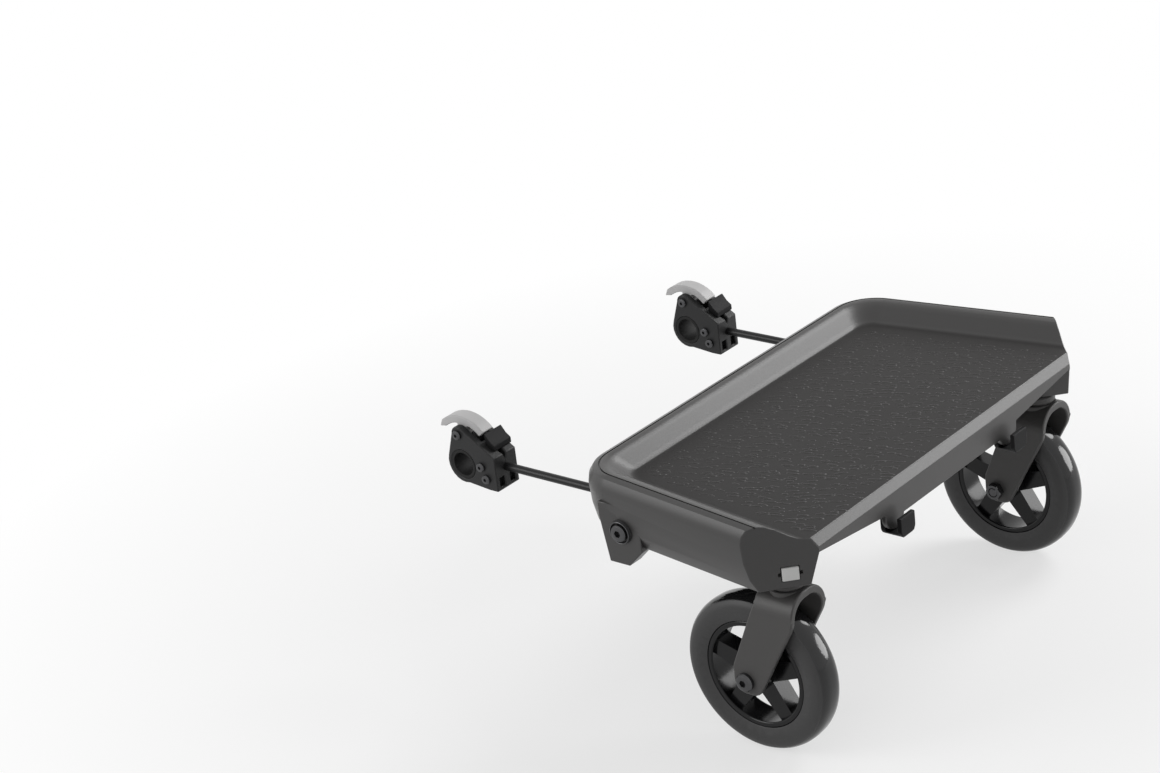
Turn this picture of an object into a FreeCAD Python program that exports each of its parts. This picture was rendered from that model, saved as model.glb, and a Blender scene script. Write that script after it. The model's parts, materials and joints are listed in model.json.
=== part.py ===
# Buggy board: a ride-on platform on two casters, held behind a stroller by two clamps on its rear axle.
# Frame: origin on the axle midway between the clamps, +X to the right, +Y forwards, +Z up. Millimetres.
import FreeCAD, Part
import math
import os
import re
import Sketcher

V = FreeCAD.Vector
doc = FreeCAD.newDocument("BuggyBoard")
sheet = doc.addObject("Spreadsheet::Sheet", "Sizes")

SIZES = {
    # Platform, seen from above and from the side
    "deck_setback": 166.0,       # axle to the floor's front edge
    "floor_height": 24.0,        # floor above the axle
    "floor_front_width": 300.0,
    "floor_depth": 173.0,
    "flare_angle": 8.0,          # each side splays outwards to the rear, degrees
    "floor_corner": 16.0,
    "crest_height": 14.0,
    "crest_width": 3.0,
    "seam_width": 1.3,           # fine groove along the crest, where the mould parts
    "seam_depth": 1.1,
    "rim_run_side": 28.5,
    "rim_run_front": 22.5,
    "crest_corner": 30.0,
    "belly_drop": 12.0,
    "belly_swell": 8.0,
    "skirt_height": 38.0,
    "hem_inset": 8.0,
    "skirt_curl": 60.0,          # how far the skirt turns in below the belly line, degrees
    "wall": 4.0,
    "floor_thickness": 4.0,
    "lip_drop": 8.0,
    "lip_reach": 4.0,
    "corner_bite": 2.3,          # how far the slanting corner cuts into the floor's own corner
    "corner_block": 48.0,
    "rear_wall_height": 20.0,
    "rear_arch_height": 8.0,
    "rear_arch_fall": 5.0,       # how much lower the arch ends beside the tongue
    "rear_arch_clear": 22.0,     # arch to the swivel axis
    "rib_thickness": 2.5,
    "rib_drop": 13.0,
    "rib_pitch": 62.0,
    "cross_rib_first": 62.0,
    "cross_rib_pitch": 54.0,
    # Strap tongues and hooks under the rear edge
    "hook_offset": 76.0,
    "tongue_width": 24.0,
    "tongue_drop": 16.0,
    "tongue_thickness": 4.0,
    "hook_width": 18.0,
    "hook_thickness": 3.5,
    "hook_reach": 7.0,
    "hook_rise": 13.0,
    "hook_round": 3.0,
    # Arms and their hinge under the platform
    "arm_inset": 46.0,           # lug's outer face to the rod
    "rod_diameter": 6.5,
    "rod_notch": 14.0,
    "hinge_setback": 17.0,       # floor's front edge to the hinge axis
    "hinge_drop": 24.0,          # floor to the hinge axis
    "lug_inset": 0.9,            # belly line to the lug's outer face
    "lug_thickness": 13.0,
    "lug_rear": 17.0,
    "lug_front": 20.0,
    "lug_depth": 27.0,
    "lug_heel": 4.0,             # hinge axis back to the heel of the foot
    "lug_toe": 14.0,             # hinge axis forward to the toe of the foot
    "lug_heel_rise": 13.5,
    "lug_brow_rise": 9.0,
    "pivot_diameter": 8.0,
    "pivot_head_diameter": 13.0,
    "pivot_head_height": 5.0,
    "socket_diameter": 6.0,
    "socket_depth": 3.0,
    "cup_diameter": 19.0,
    "cup_height": 3.0,
    "cup_wall": 1.6,
    "barrel_diameter": 17.0,
    "barrel_reach": 25.0,        # rod to the barrel's inner end
    "barrel_collar": 11.0,
    "collar_length": 20.0,
    "bracket_thickness": 9.0,
    "bracket_flange": 26.0,
    "flange_thickness": 3.0,
    "flange_screw_step": 10.0,   # hinge axis to each flange screw
    "nut_diameter": 14.0,
    "nut_thickness": 6.0,
    "screw_diameter": 4.0,
    "screw_head": 7.5,
    "screw_head_height": 2.5,
    "screw_bite": 2.5,
    # Casters
    "swivel_inset": 6.3,         # floor's rear corner to the swivel axis, sideways
    "swivel_from_rear": 26.0,    # floor's rear edge to the swivel axis
    "stem_diameter": 12.0,
    "stem_length": 28.0,
    "stem_collar": 27.0,
    "collar_height": 7.0,
    "collar_chamfer": 1.5,
    "collar_gap": 0.6,
    "bush_wall": 2.5,
    "bush_length": 29.0,
    "wheel_diameter": 122.0,
    "wheel_drop": 83.0,          # skirt hem to the wheel's axle
    "wheel_trail": 29.0,
    "tyre_width": 26.0,
    "tyre_height": 19.0,
    "tread_share": 0.62,         # share of the tyre's height that is rounded over
    "tread_fullness": 0.75,      # 1 is an ellipse, less is squarer
    "rim_thickness": 4.0,
    "rim_width": 21.0,
    "hub_diameter": 26.0,
    "hub_width": 27.0,
    "hub_chamfer": 1.5,
    "spoke_overlap": 2.0,
    "spoke_count": 5,
    "spoke_root": 16.0,
    "spoke_tip": 12.0,
    "spoke_thickness": 14.0,
    "bearing_diameter": 16.0,
    "bearing_length": 8.0,
    "bearing_flange": 20.0,
    "bearing_flange_thickness": 1.2,
    "axle_bolt_diameter": 8.0,
    "axle_head_diameter": 14.0,
    "axle_head_height": 4.5,
    "axle_head_dome": 2.0,
    "fork_gap": 33.0,
    "fork_plate": 4.5,
    "fork_crown": 6.0,
    "fork_shoulder": 18.5,
    "fork_boss": 28.0,
    "fork_top_rear": 16.0,
    "fork_top_front": 17.0,
    "fork_waist": 22.0,
    "fork_end": 10.5,
    "fork_end_round": 9.5,
    # Corner release buttons
    "button_width": 12.0,
    "button_height": 10.0,
    "button_depth": 6.0,
    "button_proud": 0.8,
    "button_travel": 3.0,
    "button_above_hem": 11.0,
    "notch_reach": 2.5,          # guide notch each side of the button
    "notch_height": 2.5,
    "notch_depth": 3.0,
    # Axle clamps
    "axle_diameter": 19.0,
    "liner_wall": 2.5,
    "clamp_width": 25.0,
    "cheek_gap": 13.0,
    "clamp_rear": 33.0,
    "clamp_shoulder": 11.0,      # height of the rear top corner
    "clamp_foot": 17.0,
    "clamp_foot_length": 9.0,
    "clamp_ring": 15.6,          # outer radius round the axle
    "horn_radius": 6.5,
    "gap_floor": 14.5,
    "gap_rear": 17.0,
    "slot_width": 6.0,
    "slot_height": 8.0,
    "slot_depth": 4.0,
    "yoke_width": 14.0,          # pocket between the arms of the Y above the rod
    "yoke_drop": 6.0,
    "yoke_depth": 8.0,
    "rod_socket_depth": 16.0,
    "lever_pin_diameter": 4.0,
    "lever_pin_forward": 2.0,
    "lever_pin_height": 24.5,
    "lever_eye": 9.2,
    "lever_radius": 31.5,        # the lever's arched back
    "lever_centre_forward": 3.8,
    "lever_centre_height": 5.7,
    "lever_thickness": 6.0,
    "lever_tip_turn": 52.0,      # ends of the arch, degrees from the forward axis
    "lever_tail_turn": 136.0,
    "lever_tip_droop": 1.0,
    "catch_rear": 29.0,
    "catch_height": 8.0,
    "catch_heel": 4.5,
    "catch_dip": 3.0,
    "catch_thumb": 7.0,
    "catch_clearance": 1.2,      # lever tail to the catch, clear of the swinging tail
    "cheek_screw_back": 18.6,
    "cheek_screw_height": 1.6,
    "cheek_screw_step_back": 4.1,
    "cheek_screw_step_down": 9.4,
    "cheek_screw_dome": 1.0,
    # Fits
    "running_clearance": 0.06,
    "seat_clearance": 0.04,
    "side_clearance": 0.35,
    "end_clearance": 0.4,
}
# Places that follow from the sizes above
DERIVED = {
    "rear_half_width": "=floor_front_width/2 + floor_depth*tan(flare_angle)",
    "corner_cut": "=rear_half_width + floor_depth - corner_bite",
    "swivel_offset": "=rear_half_width - swivel_inset",
    "swivel_setback": "=floor_depth - swivel_from_rear",
    "rear_arch_to": "=swivel_offset - rear_arch_clear",
    "lug_outside": "=floor_front_width/2 + hinge_setback*tan(flare_angle) + rim_run_side + belly_swell - lug_inset",
    "arm_offset": "=lug_outside - arm_inset",
    "barrel_inside": "=arm_offset - barrel_reach",
    "barrel_outside": "=lug_outside - lug_thickness - end_clearance",
    "barrel_length": "=barrel_outside - barrel_inside",
}
CELLS = SIZES | DERIVED
for row, (alias, value) in enumerate(CELLS.items(), start=1):
    sheet.set(f"A{row}", alias)
    sheet.set(f"B{row}", str(value))
    sheet.setAlias(f"B{row}", alias)
doc.recompute()


def formula(text):
    """Names in a size formula become references to the sheet's cells."""
    return re.sub(r"[a-z_]+", lambda word: f"Sizes.{word[0]}" if word[0] in CELLS else word[0], str(text))


def size(text):
    return float(sheet.evalExpression(formula(text)))


def bind(obj, prop, text):
    obj.setExpression(prop, formula(text))


def place(obj, base, rotation=None):
    obj.Placement = FreeCAD.Placement(V(*[size(part) for part in base]), rotation or FreeCAD.Rotation())
    for letter, part in zip("xyz", base):
        bind(obj, f"Placement.Base.{letter}", part)


ALONG = {
    "X": FreeCAD.Rotation(V(0, 1, 0), 90),
    "Y": FreeCAD.Rotation(V(1, 0, 0), -90),
    "Z": FreeCAD.Rotation(),
}


def cylinder(name, diameter, length, base, axis):
    rod = doc.addObject("Part::Cylinder", name)
    bind(rod, "Radius", f"({diameter})/2")
    bind(rod, "Height", length)
    place(rod, base, ALONG[axis])
    return rod


def box(name, lengths, corner):
    block = doc.addObject("Part::Box", name)
    for prop, text in zip(("Length", "Width", "Height"), lengths):
        bind(block, prop, text)
    place(block, corner)
    return block


def joined(kind, name, base, tools):
    """One boolean after another: kind is Cut, Fuse or Common."""
    for count, tool in enumerate(tools):
        result = doc.addObject(f"Part::{kind}", f"{name}_{kind.lower()}_{count}")
        result.Base = base
        result.Tool = tool
        base = result
    return base


def group(name, members):
    bundle = doc.addObject("Part::Compound", name)
    bundle.Links = members
    return bundle


PLANES = {"XY": "XY_Plane", "XZ": "XZ_Plane", "YZ": "YZ_Plane"}


def sketch(body, name, plane, points):
    """A closed outline of straight lines whose corners are bound to size formulas."""
    drawing = body.newObject("Sketcher::SketchObject", name)
    support = [item for item in body.Origin.OriginFeatures if item.Role == PLANES[plane]][0]
    drawing.AttachmentSupport = [(support, "")]
    drawing.MapMode = "FlatFace"
    corners = [V(size(first), size(second), 0) for first, second in points]
    count = len(corners)
    for index in range(count):
        drawing.addGeometry(Part.LineSegment(corners[index], corners[(index + 1) % count]), False)
    for index in range(count):
        drawing.addConstraint(Sketcher.Constraint("Coincident", index, 2, (index + 1) % count, 1))
    for index, texts in enumerate(points):
        for kind, text, value in zip(("DistanceX", "DistanceY"), texts, corners[index]):
            number = drawing.addConstraint(Sketcher.Constraint(kind, -1, 1, index, 1, value))
            drawing.setExpression(f"Constraints[{number}]", formula(text))
    return drawing


def pad(name, plane, points, length, base, rounds=()):
    """A body padded from an outline; rounds lists (corner number, radius) for the edges along the pad."""
    body = doc.addObject("PartDesign::Body", name)
    drawing = sketch(body, f"{name}_outline", plane, points)
    solid = body.newObject("PartDesign::Pad", f"{name}_pad")
    solid.Profile = drawing
    bind(solid, "Length", length)
    doc.recompute()
    for number, (corner, radius) in enumerate(rounds):
        spot = drawing.Placement.multVec(V(*[size(text) for text in points[corner]], 0))
        normal = drawing.Placement.Rotation.multVec(V(0, 0, 1))
        sharp = body.Tip
        for index, edge in enumerate(sharp.Shape.Edges, start=1):
            ends = [vertex.Point for vertex in edge.Vertexes]
            if len(ends) == 2 and max((end - spot).cross(normal).Length for end in ends) < 1e-4:
                rounded = body.newObject("PartDesign::Fillet", f"{name}_round_{number}")
                rounded.Base = (sharp, [f"Edge{index}"])
                bind(rounded, "Radius", radius)
                body.Tip = rounded
                doc.recompute()
                break
    place(body, base)
    return body


def turned(name, axis, points, base):
    """A body of revolution; points are (along the axis, radius) about X or Z."""
    body = doc.addObject("PartDesign::Body", name)
    if axis == "X":
        drawing = sketch(body, f"{name}_outline", "XY", points)
    else:
        drawing = sketch(body, f"{name}_outline", "XZ", [(radius, along) for along, radius in points])
    solid = body.newObject("PartDesign::Revolution", f"{name}_turn")
    solid.Profile = drawing
    solid.ReferenceAxis = (drawing, ["H_Axis" if axis == "X" else "V_Axis"])
    solid.Angle = 360
    place(body, base)
    return body


def arc(across, up, radius, start, end, steps=6):
    """Outline points along an arc about a centre, with angles in degrees from the first axis."""
    turns = [start + (end - start) * step / steps for step in range(steps + 1)]
    return [(f"{across} + {radius}*cos({turn})", f"{up} + {radius}*sin({turn})") for turn in turns]


subparts = []


def keep(node, obj):
    obj.Label = node
    subparts.append(obj)
    return obj


SIDES = {"left": -1, "right": 1}

# Shared heights and places, as size formulas
HEM = "(floor_height + crest_height - belly_drop - skirt_height)"
CEILING = "(floor_height - floor_thickness)"
HINGE_Y = "(-deck_setback - hinge_setback)"
HINGE_Z = "(floor_height - hinge_drop)"
REAR = "(-deck_setback - floor_depth - lip_reach)"
SWIVEL_Y = "(-deck_setback - swivel_setback)"
WHEEL_Y = f"({SWIVEL_Y} + wheel_trail)"
WHEEL_Z = f"({HEM} - wheel_drop)"

# Turns of the clamp's arcs, in degrees
HORN_TURN = 121
LEVER_TIP = SIZES["lever_tip_turn"]
LEVER_TAIL = SIZES["lever_tail_turn"]


# Platform: one moulding with a flared rim on three sides, an open rear lip and a skirt

def level(offset, front, radius, height, rear):
    """The platform's plan at one height: a trapezoid with rounded front corners."""
    splay = math.tan(math.radians(size("flare_angle")))
    half_front = size("floor_front_width") / 2 - splay * front + offset
    half_rear = size("floor_front_width") / 2 + splay * rear + offset
    shift = -size("deck_setback")
    corner = V(half_front, front + shift, height)
    back = V(half_rear, shift - rear, height)
    along = (back - corner).normalize()
    across = V(-1, 0, 0)
    half_turn = along.getAngle(across) / 2
    inwards = (along + across).normalize()
    side_end = corner + along * (radius / math.tan(half_turn))
    front_end = corner + across * (radius / math.tan(half_turn))
    middle = corner + inwards * (radius / math.sin(half_turn) - radius)

    def other(point):
        return V(-point.x, point.y, point.z)

    edges = [
        Part.makeLine(other(back), back),
        Part.makeLine(back, side_end),
        Part.Arc(side_end, middle, front_end).toShape(),
        Part.makeLine(front_end, other(front_end)),
        Part.Arc(other(front_end), other(middle), other(side_end)).toShape(),
        Part.makeLine(other(side_end), other(back)),
    ]
    return Part.Wire(edges)


def corner_blocks(reach):
    """Two upright blocks that stand outside the slanting rear corners at the given reach."""
    depth = 4 * size("floor_depth")
    blocks = []
    for side in SIDES.values():
        block = Part.makeBox(depth, depth, depth, V(0, -depth / 2, -depth / 2))
        block.rotate(V(0, 0, 0), V(0, 0, 1), -45 if side > 0 else -135)
        foot = reach / 2
        block.translate(V(side * foot, -size("deck_setback") - foot, size("floor_height")))
        blocks.append(block)
    return blocks


def slab(low, high):
    """A box between two corners given as size formulas."""
    start = V(*[size(text) for text in low])
    span = V(*[size(text) for text in high]) - start
    return Part.makeBox(span.x, span.y, span.z, start)


def lug_outline():
    """Side view of a hinge lug, from the platform's ceiling down past the hinge."""
    return [
        (f"{HINGE_Y} - lug_rear", CEILING),
        (f"{HINGE_Y} - lug_rear", f"{HINGE_Z} - lug_heel_rise"),
        (f"{HINGE_Y} - lug_heel", f"{HINGE_Z} - lug_depth"),
        (f"{HINGE_Y} + lug_toe", f"{HINGE_Z} - lug_depth"),
        (f"{HINGE_Y} + lug_front", f"{HINGE_Z} + lug_brow_rise"),
        (f"{HINGE_Y} + lug_front", CEILING),
    ]


def prism(points, start, length):
    """A plate cut from a side view, standing across X."""
    corners = [V(start, size(y), size(z)) for y, z in points]
    return Part.Face(Part.makePolygon(corners + corners[:1])).extrude(V(length, 0, 0))


def tray_shape():
    floor = size("floor_height")
    crest = floor + size("crest_height")
    belly = crest - size("belly_drop")
    hem = size(HEM)
    wall = size("wall")
    side_run = size("rim_run_side")
    front_run = size("rim_run_front")
    swell = size("belly_swell")
    inset = size("hem_inset")
    radius = size("crest_corner")
    rear = size("floor_depth + lip_reach")
    past_rear = rear + 4 * wall

    # Outside, the section rolls over from the crest to the belly line and curls in to the hem
    curl = math.radians(size("skirt_curl"))
    section = [(swell * math.cos(turn), belly + size("belly_drop") * math.sin(turn))
               for turn in (0, math.pi / 6, math.pi / 3, math.pi / 2)]
    for share in (1 / 3, 2 / 3, 1):
        tuck = inset * (1 - math.cos(curl * share)) / (1 - math.cos(curl))
        drop = size("skirt_height") * math.sin(curl * share) / math.sin(curl)
        section.insert(0, (swell - tuck, belly - drop))
    outer = Part.makeLoft([level(side_run + bulge, front_run + bulge, radius + bulge, height, rear)
                           for bulge, height in section], True, True)

    # Inside, a cove rises from the floor and rolls over to the crest, on an S-curve
    slope_side = side_run - size("crest_width")
    slope_front = front_run - size("crest_width")
    floor_radius = size("floor_corner")
    gain = radius - size("crest_width") - floor_radius
    cove = []
    for share in (0, 1 / 6, 1 / 3, 1 / 2, 2 / 3, 5 / 6, 1):
        height = floor + size("crest_height") * share ** 2 * (3 - 2 * share)
        cove.append(level(slope_side * share, slope_front * share, floor_radius + gain * share, height,
                          past_rear))
    cove.append(level(slope_side, slope_front, floor_radius + gain, crest + wall, past_rear))
    basin = Part.makeLoft(cove, True, True)

    # A fine groove runs along the crest
    seam_inside = -size("crest_width") / 2
    seam_ends = [level(side_run + edge, front_run + edge, radius + edge, crest - size("seam_depth"),
                       past_rear)
                 for edge in (seam_inside, seam_inside + size("seam_width"))]
    seam = Part.Face(seam_ends[1]).cut(Part.Face(seam_ends[0])).extrude(V(0, 0, wall))

    # The underside is hollow up to the floor, less the solid rear corners
    ceiling = size(CEILING)
    lean = inset * (ceiling - hem) / (belly - hem)
    hollow = Part.makeLoft([
        level(side_run + swell - inset - wall, front_run + swell - inset - wall, radius - wall, hem,
              rear - wall),
        level(side_run + swell - inset + lean - wall, front_run + swell - inset + lean - wall,
              radius + lean - wall, ceiling, rear - wall),
    ], True, True)
    for block in corner_blocks(size("corner_cut - corner_block")):
        hollow = hollow.cut(block)

    tray = outer.cut(basin).cut(seam)
    for block in corner_blocks(size("corner_cut")):
        tray = tray.cut(block)
    tray = tray.cut(hollow)

    # Ribs under the floor, tied into the walls
    half_rib = "rib_thickness/2"
    ribs = []
    for column in (-1, 0, 1):
        middle = f"{column}*rib_pitch"
        ribs.append(slab((f"{middle} - {half_rib}", f"{REAR} + wall/2", f"{CEILING} - rib_drop"),
                         (f"{middle} + {half_rib}", "-deck_setback + rim_run_front - wall/2", CEILING)))
    for crossing in (0, 1):
        setback = f"(cross_rib_first + {crossing}*cross_rib_pitch)"
        reach = f"(floor_front_width/2 + rim_run_side + belly_swell - hem_inset + {setback}*tan(flare_angle))"
        ribs.append(slab((f"wall/2 - {reach}", f"-deck_setback - {setback} - {half_rib}",
                          f"{CEILING} - rib_drop"),
                         (f"{reach} - wall/2", f"-deck_setback - {setback} + {half_rib}", CEILING)))
    for side in SIDES.values():
        start = side * size("lug_outside") - (size("lug_thickness") if side > 0 else 0)
        ribs.append(prism(lug_outline(), start, size("lug_thickness")))
        left = f"{side}*hook_offset - tongue_width/2"
        right = f"{side}*hook_offset + tongue_width/2"
        tongue_end = "floor_height - lip_drop - tongue_drop"
        ribs.append(slab((left, REAR, tongue_end),
                         (right, f"{REAR} + tongue_thickness", "floor_height - lip_drop")))
        ribs.append(Part.makeCylinder(size("tongue_width") / 2, size("tongue_thickness"),
                                      V(size(f"{side}*hook_offset"), size(REAR), size(tongue_end)),
                                      V(0, 1, 0)))

    # The rear wall is low between the tongues, and arches up from each tongue to the corner block
    edge = "floor_height - lip_drop"
    profile = [("rear_arch_to", f"{HEM} - wall"), ("rear_arch_to", f"{edge} - rear_arch_height"),
               ("hook_offset + tongue_width/2", f"{edge} - rear_arch_height - rear_arch_fall"),
               ("hook_offset", f"{edge} - rear_wall_height")]
    corners = [V(size(x), size(f"{REAR} - wall"), size(z)) for x, z in profile]
    corners += [V(-corner.x, corner.y, corner.z) for corner in reversed(corners)]
    tray = tray.cut(Part.Face(Part.makePolygon(corners + corners[:1])).extrude(V(0, 3 * wall, 0)))
    tray = tray.multiFuse(ribs).removeSplitter()

    # Bevelled rear lip
    lip = [(f"{REAR} + lip_reach", "floor_height"), (REAR, "floor_height - lip_drop"),
           (f"{REAR} - wall", "floor_height - lip_drop"), (f"{REAR} - wall", "floor_height + 2*crest_height"),
           (f"{REAR} + lip_reach", "floor_height + 2*crest_height")]
    tray = tray.cut(prism(lip, -size("corner_cut"), 2 * size("corner_cut")))

    for side in SIDES.values():
        swivel = V(side * size("swivel_offset"), size(SWIVEL_Y), hem - wall)
        bush_radius = size("stem_diameter/2 + running_clearance + bush_wall + seat_clearance")
        tray = tray.cut(Part.makeCylinder(bush_radius, wall + size("bush_length"), swivel))
        # Notch in the front skirt for the arm rod
        tray = tray.cut(slab((f"{side}*arm_offset - rod_notch/2", "-deck_setback + floor_corner/4",
                              f"{HEM} - wall"),
                             (f"{side}*arm_offset + rod_notch/2", "-deck_setback + 2*rim_run_front",
                              CEILING)))
        # Hinge hole
        hole_radius = size("pivot_diameter/2 + seat_clearance")
        start = V(side * size("lug_outside + wall"), size(HINGE_Y), size(HINGE_Z))
        tray = tray.cut(Part.makeCylinder(hole_radius, size("lug_thickness + 2*wall"), start, V(-side, 0, 0)))
        # Slot for the release button, square to the slanting corner
        slot = button_block(side, "button_width + 2*side_clearance", "button_height + 2*side_clearance",
                            "button_depth - button_proud + button_travel + end_clearance", "wall")
        tray = tray.cut(slot)
        tray = tray.cut(button_block(side, "button_width + 2*notch_reach", "notch_height", "notch_depth",
                                     "wall"))
        for hole in bracket_screw_places(side):
            tray = tray.cut(Part.makeCylinder(size("screw_diameter/2 + seat_clearance"), size("screw_bite"),
                                              V(*hole, size(CEILING))))
    return tray


def button_block(side, width, height, depth, proud):
    """A block sunk square into a slanting rear corner, level with the release button."""
    block = Part.makeBox(size(width), size(f"{depth} + {proud}"), size(height),
                         V(-size(width) / 2, -size(proud), -size(height) / 2))
    block.rotate(V(0, 0, 0), V(0, 0, 1), 45 * side)
    # The button looks out from the swivel axis
    sideways = size("swivel_offset")
    back = size("swivel_setback")
    gap = (size("corner_cut") - sideways - back) / 2
    block.translate(V(side * (sideways + gap), -size("deck_setback") - back - gap,
                      size(f"{HEM} + button_above_hem")))
    return block


def bracket_screw_places(side):
    flange_middle = size("barrel_inside - end_clearance - bracket_thickness - bracket_flange/2")
    return [(side * flange_middle, size(HINGE_Y) + step * size("flange_screw_step")) for step in (-1, 1)]


tray = doc.addObject("Part::Feature", "deck_tray")
tray.Shape = tray_shape()
keep("deck_tray", tray)

for word, side in SIDES.items():
    # Strap hook: a J of moulded plastic behind the tongue, turned up to the rear
    hook_foot = "(floor_height - lip_drop - tongue_drop - tongue_width/2)"
    hook = pad(f"{word}_strap_hook", "YZ", [
        (f"{REAR} + tongue_thickness", "floor_height - lip_drop - rear_arch_height"),
        (f"{REAR} + tongue_thickness", f"{hook_foot} - seat_clearance"),
        (f"{REAR} - hook_reach", f"{hook_foot} - seat_clearance"),
        (f"{REAR} - hook_reach", f"{hook_foot} + hook_rise"),
        (f"{REAR} - hook_reach - hook_thickness", f"{hook_foot} + hook_rise"),
        (f"{REAR} - hook_reach - hook_thickness", f"{hook_foot} - hook_thickness"),
        (f"{REAR} + tongue_thickness + hook_thickness", f"{hook_foot} - hook_thickness"),
        (f"{REAR} + tongue_thickness + hook_thickness", "floor_height - lip_drop - rear_arch_height"),
    ], "hook_width", (f"{side}*hook_offset - hook_width/2", "0", "0"),
        rounds=[(5, "hook_round"), (6, "hook_round")])
    keep(f"{word}_strap_hook", hook)

    # Release button, sliding square to the corner
    button = doc.addObject("Part::Feature", f"{word}_corner_button")
    button.Shape = button_block(side, "button_width", "button_height", "button_depth - button_proud",
                                "button_proud")
    keep(f"{word}_corner_button", button)

    # Inner hinge bracket: a ribbed cheek with a flange screwed up against the ceiling
    inner = "(barrel_inside - end_clearance - bracket_thickness)"
    cheek_start = inner if side > 0 else f"-{inner} - bracket_thickness"
    cheek = pad(f"{word}_bracket_cheek", "YZ", lug_outline(), "bracket_thickness", (cheek_start, "0", "0"))
    flange_start = f"{inner} - bracket_flange" if side > 0 else f"-{inner}"
    flange = box(f"{word}_bracket_flange", ("bracket_flange", "lug_front + lug_rear", "flange_thickness"),
                 (flange_start, f"{HINGE_Y} - lug_rear", f"{CEILING} - flange_thickness"))
    bracket = joined("Fuse", f"{word}_bracket_body", cheek, [flange])
    holes = [cylinder(f"{word}_bracket_bore", "pivot_diameter + 2*seat_clearance",
                      "bracket_thickness + 2*wall",
                      (f"{cheek_start} - wall", HINGE_Y, HINGE_Z), "X")]
    screws = []
    for number in (0, 1):
        middle = f"{side}*({inner} - bracket_flange/2)"
        depth = f"{HINGE_Y} + {2*number - 1}*flange_screw_step"
        holes.append(cylinder(f"{word}_bracket_hole_{number}", "screw_diameter + 2*seat_clearance",
                              "flange_thickness + 2*wall",
                              (middle, depth, f"{CEILING} - flange_thickness - wall"), "Z"))
        shank = cylinder(f"{word}_bracket_shank_{number}", "screw_diameter", "flange_thickness + screw_bite",
                         (middle, depth, f"{CEILING} - flange_thickness"), "Z")
        head = cylinder(f"{word}_bracket_head_{number}", "screw_head", "screw_head_height",
                        (middle, depth, f"{CEILING} - flange_thickness - screw_head_height"), "Z")
        screws.append(joined("Fuse", f"{word}_bracket_screw_{number}", shank, [head]))
    keep(f"{word}_hinge_bracket", joined("Cut", f"{word}_bracket", bracket, holes))
    keep(f"{word}_bracket_screws", group(f"{word}_bracket_screw_pair", screws))

    # Hinge bolt: socket head outside the lug, plain shank, nut inside the bracket
    reach = f"(lug_outside - {inner} + nut_thickness)"
    bolt = turned(f"{word}_pivot_bolt", "X", [
        ("0", "0"), (f"-{side}*{reach}", "0"), (f"-{side}*{reach}", "pivot_diameter/2"),
        ("0", "pivot_diameter/2"), ("0", "pivot_head_diameter/2"),
        (f"{side}*pivot_head_height", "pivot_head_diameter/2"),
        (f"{side}*pivot_head_height", "socket_diameter/2"),
        (f"{side}*(pivot_head_height - socket_depth)", "socket_diameter/2"),
        (f"{side}*(pivot_head_height - socket_depth)", "0"),
    ], (f"{side}*lug_outside", HINGE_Y, HINGE_Z))
    keep(f"{word}_pivot_bolt", bolt)
    washer = turned(f"{word}_cup_washer", "X", [
        ("0", "cup_diameter/2 - cup_wall"), ("0", "cup_diameter/2"),
        (f"{side}*cup_height", "cup_diameter/2 - cup_wall/2"),
        (f"{side}*cup_height", "cup_diameter/2 - cup_wall"),
    ], (f"{side}*lug_outside", HINGE_Y, HINGE_Z))
    keep(f"{word}_cup_washer", washer)
    nut = turned(f"{word}_pivot_nut", "X", [
        ("0", "pivot_diameter/2 + seat_clearance"), ("0", "nut_diameter/2"),
        (f"-{side}*nut_thickness", "nut_diameter/2"),
        (f"-{side}*nut_thickness", "pivot_diameter/2 + seat_clearance"),
    ], (f"{side}*{inner}", HINGE_Y, HINGE_Z))
    keep(f"{word}_pivot_nut", nut)

    # Swivel bush, pressed into the corner block
    bore = "(stem_diameter/2 + running_clearance)"
    bush = turned(f"{word}_swivel_bush", "Z", [
        ("0", bore), ("0", f"{bore} + bush_wall"), ("bush_length", f"{bore} + bush_wall"),
        ("bush_length", bore),
    ], (f"{side}*swivel_offset", SWIVEL_Y, HEM))
    keep(f"{word}_swivel_bush", bush)

    # Swivel stem with the collar that carries the load
    stem = turned(f"{word}_swivel_stem", "Z", [
        ("0", "0"), ("0", "stem_collar/2 - collar_chamfer"), ("collar_chamfer", "stem_collar/2"),
        ("collar_height - collar_chamfer", "stem_collar/2"),
        ("collar_height", "stem_collar/2 - collar_chamfer"),
        ("collar_height", "stem_diameter/2"),
        ("collar_height + stem_length", "stem_diameter/2"), ("collar_height + stem_length", "0"),
    ], (f"{side}*swivel_offset", SWIVEL_Y, f"{HEM} - collar_gap - collar_height"))
    keep(f"{word}_swivel_stem", stem)

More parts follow.
